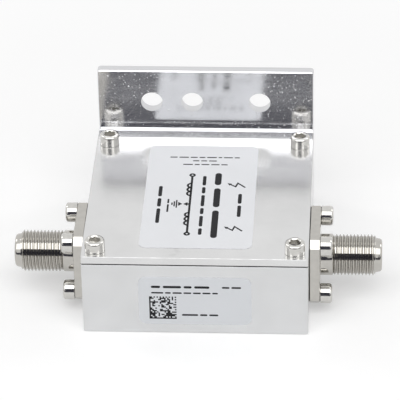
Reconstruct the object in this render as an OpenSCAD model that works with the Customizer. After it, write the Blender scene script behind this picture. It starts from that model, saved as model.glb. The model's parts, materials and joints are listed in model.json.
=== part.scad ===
// Coaxial surge arrestor: a milled box with a screwed cover, a flanged jack on
// each side and an upright grounding plate on its back.
// Lengths are in millimetres, +Z is up and +Y is to the back. The origin is on
// the box's underside, below the centre of the cover.

/* [Box] */
// Width of the box between its two jack faces
body_w = 50.8; // [48:0.1:60]
// Depth of the cover, front to back
body_d = 50.8; // [48:0.1:60]
// Height from the underside to the top of the cover
body_h = 20.4; // [20:0.1:26]
// Thickness of the side walls, which carry the jacks
side_wall = 5; // [4.5:0.1:5.6]
// Thickness of the front wall, and of the rear wall without its lip
front_wall = 3.5; // [3:0.1:5]
// Thickness of the floor
floor_t = 3; // [2:0.1:4]
// Depth of the lip that stands behind the cover
lip_d = 3.45; // [2.5:0.05:5]
// Chamfer along the rear edge of the lip
lip_chamfer = 0.83; // [0.3:0.01:1.5]
// Rounding of the upright corners
corner_r = 0.6; // [0.4:0.1:1.5]
// Edge break on the flanges, the lip's ends and the underside
edge_break = 0.3; // [0.1:0.05:0.6]
// Width of the post under each cover screw
post_w = 6.4; // [6:0.1:8]
// Radius that the cutter leaves in the corners of the cavity
cutter_r = 2; // [1:0.1:3]

/* [Cover] */
// Thickness of the cover
cover_t = 1.9; // [1.6:0.1:3]
// Edge break on the cover's top
cover_break = 0.06; // [0.05:0.01:0.3]
// Thickness of the gasket under the cover
gasket_t = 0.25; // [0.15:0.05:0.5]
// Distance that the gasket stays back from the outside
gasket_inset = 0.5; // [0.3:0.1:1]
// Distance from the cover's edges to the axes of its screws
cover_screw_inset = 3.05; // [2.8:0.05:3.4]
// Thread depth of the cover screws in the box
cover_thread = 6; // [4:0.5:9]

/* [Cap screws] */
// Diameter of a screw's head
cap_d = 4.55; // [4.2:0.05:5]
// Height of a screw's head
cap_h = 2.75; // [2.2:0.05:3.2]
// Rounding of the head's top edge
cap_round = 0.65; // [0.3:0.05:0.75]
// Chamfer round the foot of the head
cap_foot = 0.15; // [0.05:0.05:0.3]
// Width across the flats of the hexagon socket
cap_socket = 2.38; // [1.9:0.01:2.6]
// Depth of the hexagon socket
cap_socket_depth = 1.5; // [1:0.1:2]
// Depth of the cone that leads into the socket
cap_lead = 0.25; // [0.1:0.05:0.35]
// Diameter of a screw's shank
screw_d = 2.84; // [2.4:0.02:3]

/* [Jacks] */
// Depth of the jacks' axis below the top of the cover
jack_drop = 9.25; // [8.8:0.05:9.8]
// Distance of the jacks' axis in front of the cover's centre
jack_forward = 9.33; // [0:0.01:9.6]
// Width of the square flange
flange_w = 17.1; // [16.6:0.1:17.6]
// Thickness of the flange
flange_t = 2.35; // [2:0.05:3]
// Corner cut of the flange, along each side
flange_cut = 1.53; // [1:0.01:1.8]
// Pitch of the flange's screws
flange_pitch = 12.7; // [12.2:0.05:12.8]
// Thickness of the gasket under the flange
jack_gasket_t = 0.12; // [0.1:0.01:0.5]
// Thread depth of the flange screws in the side wall
flange_thread = 3.2; // [2.6:0.1:3.6]
// Depth of the wall's pad that stands up behind the flange
pad_d = 3.7; // [3.6:0.1:4]
// Diameter of the plain collar next to the flange
collar_d = 9.5; // [9:0.05:10]
// Length of the plain collar
collar_l = 2.88; // [2:0.02:4]
// Outer diameter of the threaded barrel
thread_d = 9.45; // [9:0.05:9.6]
// Length of the threaded barrel
thread_l = 9.57; // [7:0.01:12]
// Diameter of the nose where it leaves the thread
nose_root_d = 8; // [7.8:0.1:8.4]
// Diameter of the nose at its tip
nose_tip_d = 7.6; // [7:0.1:7.8]
// Length of the nose
nose_l = 1.5; // [1.2:0.05:2]
// Diameter of the spigot that enters the side wall
spigot_d = 10; // [9:0.1:11]
// Diameter of the insulator
insulator_d = 5.8; // [5:0.1:6]
// Outer diameter of the contact's socket
contact_d = 2; // [1.8:0.05:2.4]
// Bore of the contact's socket
contact_bore = 1.1; // [1:0.05:1.3]
// Diameter of the contact's soldering tail
tail_d = 1.2; // [1:0.05:1.4]

/* [Grounding plate] */
// Thickness of the plate
plate_t = 2.5; // [2:0.1:3.2]
// Height of the plate's top edge above the underside
plate_top = 36.35; // [33:0.05:50]
// Gap between the plate's lower edge and the surface below
plate_lift = 0.4; // [0:0.1:2]
// Rounding of the plate's corners
plate_r = 0.9; // [0.6:0.1:3]
// Edge break of the plate
plate_break = 0.2; // [0.1:0.05:0.4]
// Diameter of the three lug holes
lug_hole_d = 5.1; // [4.3:0.1:6]
// Distance of the lug holes below the plate's top edge
lug_hole_drop = 8.4; // [5:0.1:9]
// Spacing of the outer lug holes
lug_wide = 25.4; // [24:0.1:32]
// Spacing of the inner lug hole and the right one
lug_narrow = 15.875; // [12:0.005:17]
// Spacing of the two screws that hold the plate
plate_screw_pitch = 31.8; // [24:0.1:36]
// Height of those screws above the underside
plate_screw_z = 9.5; // [6:0.1:12]
// Head diameter of those countersunk screws
flat_head_d = 5.2; // [4.6:0.1:5.6]
// Thread depth of those screws in the rear wall
plate_thread = 5; // [4:0.1:5.2]

/* [Circuit] */
// Thickness of the circuit board
board_t = 1.6; // [1:0.1:2]
// Gap between the board and the cavity's walls
board_gap = 1.5; // [1:0.1:2]
// Distance of the board's screws from its edges
board_screw_inset = 3; // [2.8:0.1:3.6]
// Length of each contact tail on the board
tail_seat = 3; // [2:0.1:4]
// Diameter of the screw bosses under the board
boss_d = 5; // [4.4:0.1:5.6]
// Shank diameter of the board's screws
board_screw_d = 2; // [1.6:0.1:2.2]
// Head diameter of the board's screws
board_head_d = 3.8; // [3.4:0.1:4]
// Distance of the coils, gas tube and diode from the middle
part_spread = 8; // [7:0.1:9]
// Diameter of the coils at the middle of the wire
coil_d = 4.6; // [3.6:0.1:5]
// Diameter of the coils' wire
wire_d = 0.9; // [0.6:0.05:1]
// Pitch of the coils' turns
coil_pitch = 1.3; // [1.2:0.05:1.5]
// Full turns of each coil
coil_turns = 6; // [4:1:7]
// Diameter of the gas tube
gas_tube_d = 6; // [5:0.1:6.4]
// Length of the gas tube
gas_tube_l = 6.4; // [5:0.1:7]
// Distance of the gas tube and the diode from the board's rear edge
rear_part_inset = 7.5; // [6.5:0.1:7.9]
// Length of the diode's moulded body
diode_l = 5.6; // [4:0.1:6.4]
// Length of the coupling capacitor
capacitor_l = 3.2; // [2:0.1:4.5]

/* [Labels] */
// Width of both labels
label_w = 25.4; // [16:0.1:30]
// Length of the top label, front to back
top_label_l = 42.8; // [30:0.1:44]
// Height of the front label
front_label_h = 12.7; // [8:0.1:13]
// Height of the front label's middle above the underside
front_label_z = 8.9; // [8.8:0.1:9.4]
// Corner rounding of the labels
label_r = 1.8; // [0.5:0.1:3]
// Thickness of the labels
label_t = 0.1; // [0.08:0.01:0.2]

/* [Hidden] */
$fn = 64;

// Sides of the box that the two jacks stand on
LEFT = -1;
RIGHT = 1;

// Clearances: a thread in its hole, a screw through a plate, a sliding fit, a seat
thread_gap = 0.03;
screw_gap = 0.18;
fit_gap = 0.05;
seat_gap = 0.02;
// Gap between the cover and the lip, and between a wall's pad and the cover
joint_gap = 0.1;
// Margin that hides a wall's pad and a gasket behind the flange's outline
pad_inset = 0.2;
// Edge break where two flat pieces meet, and on the walls under the cover
seam_break = 0.1;
wall_break = 0.04;
// Angles at which the cover screws came to rest: left front and rear, right front and rear
cover_screw_turns = [[28, 33], [8, 14]];
// How far a cut runs past the face that it opens
overrun = 1;

half_w = body_w / 2;
half_d = body_d / 2;
rear_y = half_d + lip_d;
cover_z = body_h - cover_t;
wall_top = cover_z - gasket_t;
screw_r = screw_d / 2;
cover_screw_x = half_w - cover_screw_inset;
cover_screw_y = half_d - cover_screw_inset;
jack_y = -jack_forward;
jack_z = body_h - jack_drop;

// Distances along a jack, outward from its flange's inner face
wall_inside = -(jack_gasket_t + side_wall);
collar_end = flange_t + collar_l;
thread_end = collar_end + thread_l;
nose_end = thread_end + nose_l;
nose_round = 0.7;
mouth_lip = 0.6;
mouth_d = insulator_d - 0.8;
insulator_end = nose_end - mouth_lip;
guide_t = 1;
guide_d = contact_bore + 0.4;
contact_end = insulator_end - guide_t - fit_gap;
shoulder_d = contact_d + 1;
shoulder_l = 0.8;
socket_depth = 7;
slot_w = 0.25;
slot_l = 4.5;

cap_under = flange_t;
flat_head_h = (flat_head_d - screw_d) / 2;
flat_head_sink = 0.1;
flat_socket = 1.6;
flat_socket_depth = 0.9;

board_x = half_w - side_wall - board_gap;
board_y = half_d - post_w - board_gap;
board_top = jack_z - tail_d / 2 - seat_gap;
board_bottom = board_top - board_t;
board_screw_x = board_x - board_screw_inset;
board_screw_y = board_y - board_screw_inset;
board_head_h = 1.3;
board_thread = 4;
tail_x = board_x - tail_seat;
parts_z = board_top + seat_gap;
rear_part_y = board_y - rear_part_inset;
coil_lift = coil_d / 2 + wire_d / 2 + 0.4;
coil_l = coil_pitch * (coil_turns + 0.5);
coil_y = (rear_part_y + jack_y) / 2 - coil_l / 2 - 1.5;

plate_h = plate_top - plate_lift;
lug_hole_z = plate_top - lug_hole_drop;
lug_hole_xs = [-lug_wide / 2, lug_wide / 2 - lug_narrow, lug_wide / 2];

// Outlines

module rounded_rect(w, d, r) {
    square([w - 2 * r, d], center = true);
    square([w, d - 2 * r], center = true);
    for (x = [-1, 1], y = [-1, 1])
        translate([x * (w / 2 - r), y * (d / 2 - r)]) circle(r);
}

module broken_profile(w, h, top, bottom) {
    polygon([
        [-w / 2 + bottom, 0], [w / 2 - bottom, 0], [w / 2, bottom], [w / 2, h - top],
        [w / 2 - top, h], [-w / 2 + top, h], [-w / 2, h - top], [-w / 2, bottom]
    ]);
}

module flange_outline(grow = 0) {
    a = flange_w / 2 + grow;
    b = a - flange_cut;
    polygon([[b, -a], [a, -b], [a, b], [b, a], [-b, a], [-a, b], [-a, -b], [-b, -a]]);
}

module cavity_outline(grow = 0) {
    rounded_rect(2 * (half_w - side_wall + grow), 2 * (half_d - post_w + grow), cutter_r + grow);
    rounded_rect(2 * (half_w - post_w + grow), 2 * (half_d - front_wall + grow), cutter_r + grow);
}

// Shared solids and places

module edge_broken_box(w, d, h, r, top, bottom) {
    intersection() {
        linear_extrude(h) rounded_rect(w, d, r);
        translate([0, d / 2, 0]) rotate([90, 0, 0])
            linear_extrude(d) broken_profile(w, h, top, bottom);
        translate([-w / 2, 0, 0]) rotate([90, 0, 90])
            linear_extrude(w) broken_profile(d, h, top, bottom);
    }
}

module place_jack(side) {
    translate([side * (half_w + jack_gasket_t), jack_y, jack_z])
        rotate([0, side * 90, 0]) children();
}

module at_flange_screws() {
    for (u = [-1, 1], v = [-1, 1])
        translate([u * flange_pitch / 2, v * flange_pitch / 2, 0]) children();
}

module at_cover_screws() {
    for (x = [0, 1], y = [0, 1])
        translate([(2 * x - 1) * cover_screw_x, (2 * y - 1) * cover_screw_y, 0])
            rotate(cover_screw_turns[x][y]) children();
}

module at_plate_screws() {
    for (x = [-1, 1])
        translate([x * plate_screw_pitch / 2, rear_y, plate_screw_z])
            rotate([-90, 0, 0]) children();
}

module at_board_screws() {
    for (x = [-1, 1], y = [-1, 1])
        translate([x * board_screw_x, y * board_screw_y, 0]) children();
}

// Socket head cap screw: its head stands on z = 0 and its shank hangs below
module cap_screw(shank_l) {
    tip = 0.4;
    head_r = cap_d / 2;
    difference() {
        rotate_extrude() {
            polygon([
                [0, 0], [head_r - cap_foot, 0], [head_r, cap_foot],
                [head_r, cap_h - cap_round], [0, cap_h - cap_round]
            ]);
            square([head_r - cap_round, cap_h]);
            intersection() {
                translate([head_r - cap_round, cap_h - cap_round]) circle(cap_round);
                square([head_r, cap_h]);
            }
            polygon([
                [0, -shank_l], [screw_r - tip, -shank_l], [screw_r, tip - shank_l],
                [screw_r, cap_round], [0, cap_round]
            ]);
        }
        translate([0, 0, cap_h - cap_socket_depth])
            cylinder(d = cap_socket / cos(30), h = cap_socket_depth + overrun, $fn = 6);
        translate([0, 0, cap_h - cap_lead])
            cylinder(d1 = cap_socket, d2 = cap_socket + 4 * cap_lead, h = 2 * cap_lead);
    }
}

// Countersunk screw: the top of its head is on z = 0
module flat_screw(shank_l) {
    difference() {
        rotate_extrude() polygon([
            [0, -shank_l], [screw_r, -shank_l], [screw_r, -flat_head_h],
            [flat_head_d / 2, 0], [0, 0]
        ]);
        translate([0, 0, -flat_socket_depth])
            cylinder(d = flat_socket / cos(30), h = flat_socket_depth + overrun, $fn = 6);
    }
}

// Box

module lip() {
    intersection() {
        translate([0, lip_d / 2, 0])
            linear_extrude(body_h) rounded_rect(body_w, body_d + lip_d, corner_r);
        translate([0, rear_y, 0]) rotate([90, 0, 0])
            linear_extrude(lip_d) broken_profile(body_w, body_h, edge_break, edge_break);
        translate([-half_w, 0, 0]) rotate([90, 0, 90]) linear_extrude(body_w) polygon([
            [half_d + joint_gap, edge_break], [rear_y - edge_break, edge_break],
            [rear_y, 2 * edge_break], [rear_y, body_h - lip_chamfer],
            [rear_y - lip_chamfer, body_h], [half_d + joint_gap, body_h]
        ]);
    }
}

// Part of the side wall that stands up behind the flange, round its upper screws
module jack_pad(side) {
    place_jack(side) translate([0, 0, -jack_gasket_t - pad_d])
        linear_extrude(pad_d) flange_outline(-pad_inset);
}

module jack_holes(side) {
    place_jack(side) {
        translate([0, 0, wall_inside - overrun])
            cylinder(d = spigot_d + 2 * fit_gap, h = side_wall + 2 * overrun);
        at_flange_screws() translate([0, 0, -jack_gasket_t - flange_thread])
            cylinder(r = screw_r + thread_gap, h = flange_thread + overrun);
    }
}

module board_bosses() {
    difference() {
        at_board_screws() translate([0, 0, floor_t / 2])
            cylinder(d = boss_d, h = board_bottom - floor_t / 2);
        at_board_screws() translate([0, 0, board_bottom - board_thread])
            cylinder(d = board_screw_d + 2 * thread_gap, h = board_thread + overrun);
    }
}

module housing() {
    color("lightgray") {
        difference() {
            union() {
                translate([0, lip_d / 2, 0])
                    edge_broken_box(body_w, body_d + lip_d, wall_top, corner_r, wall_break, edge_break);
                lip();
                for (side = [LEFT, RIGHT]) jack_pad(side);
            }
            translate([0, 0, floor_t]) linear_extrude(body_h) cavity_outline();
            for (side = [LEFT, RIGHT]) jack_holes(side);
            at_cover_screws() translate([0, 0, wall_top - cover_thread])
                cylinder(r = screw_r + thread_gap, h = cover_thread + overrun);
            at_plate_screws() translate([0, 0, -plate_thread])
                cylinder(r = screw_r + thread_gap, h = plate_thread + overrun);
        }
        board_bosses();
    }
}

module cover() {
    color("gainsboro") difference() {
        translate([0, 0, cover_z])
            edge_broken_box(body_w, body_d, cover_t, corner_r, cover_break, seam_break);
        at_cover_screws() translate([0, 0, cover_z - overrun])
            cylinder(r = screw_r + screw_gap, h = cover_t + 2 * overrun);
        for (side = [LEFT, RIGHT])
            place_jack(side) translate([0, 0, -jack_gasket_t - pad_d - joint_gap])
                linear_extrude(pad_d + joint_gap + overrun) flange_outline(joint_gap - pad_inset);
    }
}

module cover_gasket() {
    color("dimgray") translate([0, 0, wall_top]) linear_extrude(gasket_t) difference() {
        rounded_rect(body_w - 2 * gasket_inset, body_d - 2 * gasket_inset, corner_r);
        cavity_outline(gasket_inset / 2);
        at_cover_screws() circle(screw_r + screw_gap);
        for (side = [LEFT, RIGHT]) translate([side * half_w, jack_y])
            square([2 * (pad_d + joint_gap), flange_w], center = true);
    }
}

module cover_screws() {
    color("silver") at_cover_screws() translate([0, 0, body_h])
        cap_screw(cover_t + gasket_t + cover_thread - screw_gap);
}

// Jacks

module jack_barrel() {
    spigot_r = spigot_d / 2;
    chamfer = 0.3;
    root_r = nose_root_d / 2;
    tip_r = nose_tip_d / 2;
    rotate_extrude() {
        polygon([
            [0, wall_inside], [spigot_r - chamfer, wall_inside], [spigot_r, wall_inside + chamfer],
            [spigot_r, flange_t / 2], [collar_d / 2, flange_t / 2],
            [collar_d / 2, collar_end - chamfer], [collar_d / 2 - chamfer, collar_end],
            [thread_d / 2, collar_end], [thread_d / 2, thread_end - chamfer],
            [thread_d / 2 - chamfer, thread_end], [root_r, thread_end],
            [tip_r, nose_end - nose_round], [tip_r - nose_round, nose_end], [0, nose_end]
        ]);
        intersection() {
            translate([tip_r - nose_round, nose_end - nose_round]) circle(nose_round);
            square([tip_r, nose_end]);
        }
    }
}

module jack_body(side) {
    color("silver") place_jack(side) difference() {
        union() {
            intersection() {
                linear_extrude(flange_t) flange_outline();
                edge_broken_box(flange_w, flange_w, flange_t, seam_break, edge_break, seam_break);
            }
            jack_barrel();
        }
        translate([0, 0, wall_inside - overrun])
            cylinder(d = insulator_d, h = insulator_end - wall_inside + overrun);
        cylinder(d = mouth_d, h = nose_end + overrun);
        at_flange_screws() translate([0, 0, -overrun])
            cylinder(r = screw_r + screw_gap, h = flange_t + 2 * overrun);
    }
}

module jack_insulator(side) {
    flare = 0.5;
    color("ivory") place_jack(side) difference() {
        translate([0, 0, wall_inside])
            cylinder(d = insulator_d - 2 * fit_gap, h = insulator_end - seat_gap - wall_inside);
        translate([0, 0, wall_inside - overrun])
            cylinder(d = contact_d + 2 * fit_gap, h = contact_end + fit_gap - wall_inside + overrun);
        translate([0, 0, wall_inside - overrun])
            cylinder(d = shoulder_d + 2 * fit_gap, h = shoulder_l + fit_gap + overrun);
        cylinder(d = guide_d, h = nose_end);
        translate([0, 0, insulator_end - flare])
            cylinder(d1 = guide_d, d2 = guide_d + 2 * flare, h = flare);
    }
}

module jack_contact(side) {
    tail_end = tail_x - half_w - jack_gasket_t;
    color("gold") place_jack(side) difference() {
        rotate_extrude() polygon([
            [0, tail_end], [tail_d / 2, tail_end], [tail_d / 2, wall_inside],
            [shoulder_d / 2, wall_inside], [shoulder_d / 2, wall_inside + shoulder_l],
            [contact_d / 2, wall_inside + shoulder_l], [contact_d / 2, contact_end], [0, contact_end]
        ]);
        translate([0, 0, contact_end - socket_depth])
            cylinder(d = contact_bore, h = socket_depth + overrun);
        for (turn = [0, 90]) rotate([0, 0, turn])
            translate([-contact_d, -slot_w / 2, contact_end - slot_l])
                cube([2 * contact_d, slot_w, slot_l + overrun]);
    }
}

module jack_gasket(side) {
    color("dimgray") place_jack(side) translate([0, 0, -jack_gasket_t])
        linear_extrude(jack_gasket_t) difference() {
            flange_outline(-pad_inset);
            circle(d = spigot_d + 2 * fit_gap);
            at_flange_screws() circle(screw_r + screw_gap);
        }
}

module flange_screws(side) {
    color("silver") place_jack(side) at_flange_screws() translate([0, 0, cap_under])
        cap_screw(flange_t + jack_gasket_t + flange_thread - screw_gap);
}

// Grounding plate

module grounding_plate() {
    color("lightsteelblue") difference() {
        translate([0, rear_y + plate_t, plate_lift + plate_h / 2]) rotate([90, 0, 0])
            edge_broken_box(body_w, plate_h, plate_t, plate_r, plate_break, plate_break);
        for (x = lug_hole_xs)
            translate([x, rear_y - overrun, lug_hole_z]) rotate([-90, 0, 0])
                cylinder(d = lug_hole_d, h = plate_t + 2 * overrun);
        at_plate_screws() {
            translate([0, 0, -overrun]) cylinder(r = screw_r + screw_gap, h = plate_t + 2 * overrun);
            translate([0, 0, plate_t - flat_head_sink - flat_head_h - fit_gap])
                cylinder(d1 = screw_d, d2 = flat_head_d, h = flat_head_h);
            translate([0, 0, plate_t - flat_head_sink - fit_gap])
                cylinder(d = flat_head_d, h = overrun);
        }
    }
}

module plate_screws() {
    color("silver") at_plate_screws() translate([0, 0, plate_t - flat_head_sink])
        flat_screw(plate_t - flat_head_sink + plate_thread - screw_gap);
}

// Circuit

module circuit_board() {
    color("darkgreen") translate([0, 0, board_bottom]) linear_extrude(board_t) difference() {
        rounded_rect(2 * board_x, 2 * board_y, cutter_r);
        at_board_screws() circle(d = board_screw_d + 2 * screw_gap);
    }
}

module board_screws() {
    cross_w = 0.5;
    cross_l = 2;
    color("silver") at_board_screws() translate([0, 0, board_top]) difference() {
        union() {
            cylinder(d = board_head_d, h = board_head_h);
            translate([0, 0, screw_gap - board_t - board_thread])
                cylinder(d = board_screw_d, h = board_t + board_thread);
        }
        for (turn = [0, 90]) rotate([0, 0, turn])
            translate([-cross_l / 2, -cross_w / 2, board_head_h / 2]) cube([cross_l, cross_w, overrun]);
    }
}

// Gas-filled tube with a metal cap at each end, lying across the board
module gas_tube() {
    cap_l = 1.1;
    ceramic_d = gas_tube_d - 0.4;
    color("mistyrose") translate([-part_spread, rear_part_y, parts_z + gas_tube_d / 2])
        rotate([0, 90, 0]) {
            cylinder(d = ceramic_d, h = gas_tube_l, center = true);
            for (end = [-1, 1])
                translate([0, 0, end * (gas_tube_l - cap_l) / 2])
                    cylinder(d = gas_tube_d, h = cap_l, center = true);
        }
}

// Air-cored coil along +Y from the origin, wound from straight leads that drop to the board
module coil() {
    sides = 8;
    steps = 16;
    r = coil_d / 2;
    last = (coil_turns + 0.5) * steps;
    turn_of = function(i) i * 360 / steps;
    rise = coil_pitch / (2 * PI);
    foot = -coil_lift;
    spine = concat(
        [[r, 0, foot]],
        [for (i = [0:last]) let (a = turn_of(i)) [r * cos(a), coil_pitch * a / 360, r * sin(a)]],
        [[-r, coil_l, foot]]
    );
    outward = concat(
        [[1, 0, 0]],
        [for (i = [0:last]) let (a = turn_of(i)) [cos(a), 0, sin(a)]],
        [[-1, 0, 0]]
    );
    along = concat(
        [[0, 0, 1]],
        [for (i = [0:last]) let (a = turn_of(i), t = [-r * sin(a), rise, r * cos(a)]) t / norm(t)],
        [[0, 0, -1]]
    );
    rings = len(spine);
    points = [
        for (i = [0:rings - 1], k = [0:sides - 1])
            let (a = k * 360 / sides, side = cross(along[i], outward[i]))
                spine[i] + wire_d / 2 * (cos(a) * outward[i] + sin(a) * side)
    ];
    walls = [
        for (i = [0:rings - 2], k = [0:sides - 1])
            let (a = i * sides + k, b = i * sides + (k + 1) % sides)
                each [[a, a + sides, b], [b, a + sides, b + sides]]
    ];
    start_cap = [for (k = [0:sides - 1]) k];
    end_cap = [for (k = [sides - 1:-1:0]) (rings - 1) * sides + k];
    polyhedron(points, concat(walls, [start_cap, end_cap]));
}

module placed_coil(side) {
    color("darkgoldenrod")
        translate([side * part_spread, coil_y, parts_z + coil_lift]) coil();
}

module coupling_capacitor() {
    width = 2.5;
    height = 2;
    end_l = 0.6;
    end_over = 0.1;
    color("tan") translate([0, jack_y, parts_z + height / 2]) {
        cube([capacitor_l, width - end_over, height - end_over], center = true);
        for (end = [-1, 1])
            translate([end * (capacitor_l - end_l) / 2, 0, 0])
                cube([end_l, width, height], center = true);
    }
}

// Moulded diode whose flat leads fold under its two ends
module clamp_diode() {
    width = 3.6;
    height = 2.2;
    lead_w = 2;
    lead_t = 0.3;
    lead_turn = 1.2;
    color("darkslategray") translate([part_spread, rear_part_y, parts_z]) {
        translate([0, 0, lead_t])
            edge_broken_box(diode_l, width, height, edge_break, edge_break, seam_break);
        for (end = [-1, 1]) {
            translate([end * (diode_l - lead_turn) / 2, 0, lead_t / 2])
                cube([lead_turn, lead_w, lead_t], center = true);
            translate([end * (diode_l + lead_t) / 2, 0, height / 4])
                cube([lead_t, lead_w, height / 2], center = true);
        }
    }
}

// Labels

module top_label() {
    color("whitesmoke") translate([0, 0, body_h])
        linear_extrude(label_t) rounded_rect(label_w, top_label_l, label_r);
}

module front_label() {
    color("whitesmoke") translate([0, -half_d, front_label_z]) rotate([90, 0, 0])
        linear_extrude(label_t) rounded_rect(label_w, front_label_h, label_r);
}

housing();
cover();
cover_gasket();
cover_screws();
jack_body(LEFT);  // left_jack_body
jack_insulator(LEFT);  // left_jack_insulator
jack_contact(LEFT);  // left_jack_contact
jack_gasket(LEFT);  // left_jack_gasket
flange_screws(LEFT);  // left_flange_screws
jack_body(RIGHT);  // right_jack_body
jack_insulator(RIGHT);  // right_jack_insulator
jack_contact(RIGHT);  // right_jack_contact
jack_gasket(RIGHT);  // right_jack_gasket
flange_screws(RIGHT);  // right_flange_screws
grounding_plate();
plate_screws();
circuit_board();
board_screws();
gas_tube();
placed_coil(LEFT);  // surge_coil
placed_coil(RIGHT);  // equipment_coil
coupling_capacitor();
clamp_diode();
top_label();
front_label();
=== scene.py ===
"""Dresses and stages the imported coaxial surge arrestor.

The solids of the frame keep their shapes and get procedural finishes. The two jack bodies are
rebuilt with their screw threads, both labels get a generic print, and a small studio is set up
round the part. Lengths are in metres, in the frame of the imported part.
"""

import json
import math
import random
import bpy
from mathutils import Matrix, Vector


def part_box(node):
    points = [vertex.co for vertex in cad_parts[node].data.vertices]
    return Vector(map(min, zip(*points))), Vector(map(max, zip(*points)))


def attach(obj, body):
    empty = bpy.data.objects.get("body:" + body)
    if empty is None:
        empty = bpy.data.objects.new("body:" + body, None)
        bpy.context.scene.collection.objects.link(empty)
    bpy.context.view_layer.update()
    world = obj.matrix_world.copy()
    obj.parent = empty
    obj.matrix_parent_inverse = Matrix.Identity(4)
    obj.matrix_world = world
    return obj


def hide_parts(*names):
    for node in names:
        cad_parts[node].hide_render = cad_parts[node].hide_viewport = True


bl_info = {
    "name": "Coaxial surge arrestor",
    "version": (1, 0, 0),
    "blender": (4, 5, 0),
    "location": "View3D > Sidebar > Arrestor",
    "description": "Threads, label print, finishes and a studio for the packed surge arrestor",
    "category": "Object",
}

import bmesh
import bpy
from bpy.props import FloatProperty, FloatVectorProperty, IntProperty, PointerProperty
from mathutils import Matrix, Vector

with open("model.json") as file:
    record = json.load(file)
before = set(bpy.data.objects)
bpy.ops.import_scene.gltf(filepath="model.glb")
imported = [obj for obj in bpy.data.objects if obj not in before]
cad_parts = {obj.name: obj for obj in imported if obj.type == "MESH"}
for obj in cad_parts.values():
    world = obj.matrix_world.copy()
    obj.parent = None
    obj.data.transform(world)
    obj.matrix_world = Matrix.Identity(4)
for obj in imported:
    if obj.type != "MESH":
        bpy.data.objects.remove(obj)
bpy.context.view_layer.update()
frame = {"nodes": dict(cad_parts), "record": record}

MM = 0.001
BODY = "root"
SHARP_ANGLE = math.radians(35.0)
NODES = frame["nodes"]
MOUNTS = {mount["name"]: mount for mount in frame["record"]["mounts"]}

JACK_LOW, JACK_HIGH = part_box("right_jack_body")
SEAL_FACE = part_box("right_jack_gasket")[1].x
BARREL = MOUNTS["right_jack_barrel"]
BARREL_LENGTH = BARREL["dims"]["length_mm"] * MM
FLANGE_FACE = BARREL["pos_m"][0] - BARREL_LENGTH / 2
TOP_LOW, TOP_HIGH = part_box("top_label")
FRONT_LOW, FRONT_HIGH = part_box("front_label")
COVER_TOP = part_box("cover")[1].z


# Settings that a user would change

def length(name, description, default):
    """A length, in metres"""
    return FloatProperty(name=name, description=description, default=default, unit="LENGTH", precision=6)


def colour(name, description, default):
    """A colour without its alpha"""
    return FloatVectorProperty(name=name, description=description, default=default, subtype="COLOR",
                               size=3, min=0.0, max=1.0)


def share(name, description, default):
    """A number from 0 to 1"""
    return FloatProperty(name=name, description=description, default=default, subtype="FACTOR",
                         min=0.0, max=1.0)


def angle(name, description, default):
    """An angle whose default is given in degrees"""
    return FloatProperty(name=name, description=description, default=math.radians(default),
                         unit="ROTATION")


class JackSizes(bpy.types.PropertyGroup):
    """Sizes of the flanged jacks, taken from the frame where it has them"""

    flange_face: length("Flange face", "From the box's middle to the flange's outer face", FLANGE_FACE)
    flange_back: length("Flange back", "From the box's middle to the flange's inner face", SEAL_FACE)
    flange_width: length("Flange width", "Width of the square flange", JACK_HIGH.y - JACK_LOW.y)
    flange_cut: length("Flange cut", "Corner cut of the flange, along each side", 1.53 * MM)
    flange_edge: length("Flange edge", "Edge break round the flange's outer face", 0.3 * MM)
    screw_pitch: length("Screw pitch", "Pitch of the four holes in the flange", 12.7 * MM)
    screw_hole: length("Screw hole", "Radius of the four holes in the flange", 1.6 * MM)
    collar_radius: length("Collar radius", "Radius of the plain collar", 4.75 * MM)
    collar_length: length("Collar length", "Length of the plain collar", 2.88 * MM)
    thread_radius: length("Thread radius", "Crest radius of the thread", BARREL["dims"]["r_mm"] * MM)
    thread_pitch: length("Thread pitch", "Advance of the thread in one turn", 25.4 / 32 * MM)
    thread_depth: length("Thread depth", "Height of the thread from root to crest", 0.45 * MM)
    nose_length: length("Nose length", "Length of the plain nose beyond the thread", 1.5 * MM)
    nose_root: length("Nose root", "Radius of the nose where it leaves the thread", 4.0 * MM)
    nose_tip: length("Nose tip", "Radius of the nose before its rounded tip", 3.8 * MM)
    nose_round: length("Nose round", "Rounding of the nose's tip", 0.7 * MM)
    mouth_radius: length("Mouth radius", "Radius of the opening in the tip", 2.5 * MM)
    mouth_lip: length("Mouth lip", "Thickness of the lip that holds the insulator", 0.6 * MM)
    bore_radius: length("Bore radius", "Radius of the bore round the insulator", 2.9 * MM)
    spigot_radius: length("Spigot radius", "Radius of the spigot that enters the box", 5.0 * MM)
    segments: IntProperty(name="Segments", description="Segments round the barrel",
                          default=96, min=24, max=192)


class PrintSizes(bpy.types.PropertyGroup):
    """Sizes of the print on the labels"""

    ink: length("Ink", "Height of the print above its label", 0.008 * MM)
    stroke: length("Stroke", "Line width of the symbols", 0.52 * MM)
    arrow_stroke: length("Arrow stroke", "Line width of the surge arrows", 0.40 * MM)
    code_size: length("Code size", "Side of the square code block", 6.1 * MM)
    code_cells: IntProperty(name="Code cells", description="Cells along a side of the code block",
                            default=18, min=8, max=32)
    seed: IntProperty(name="Seed", description="Seed of the code cells and of the word widths", default=7)


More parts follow.
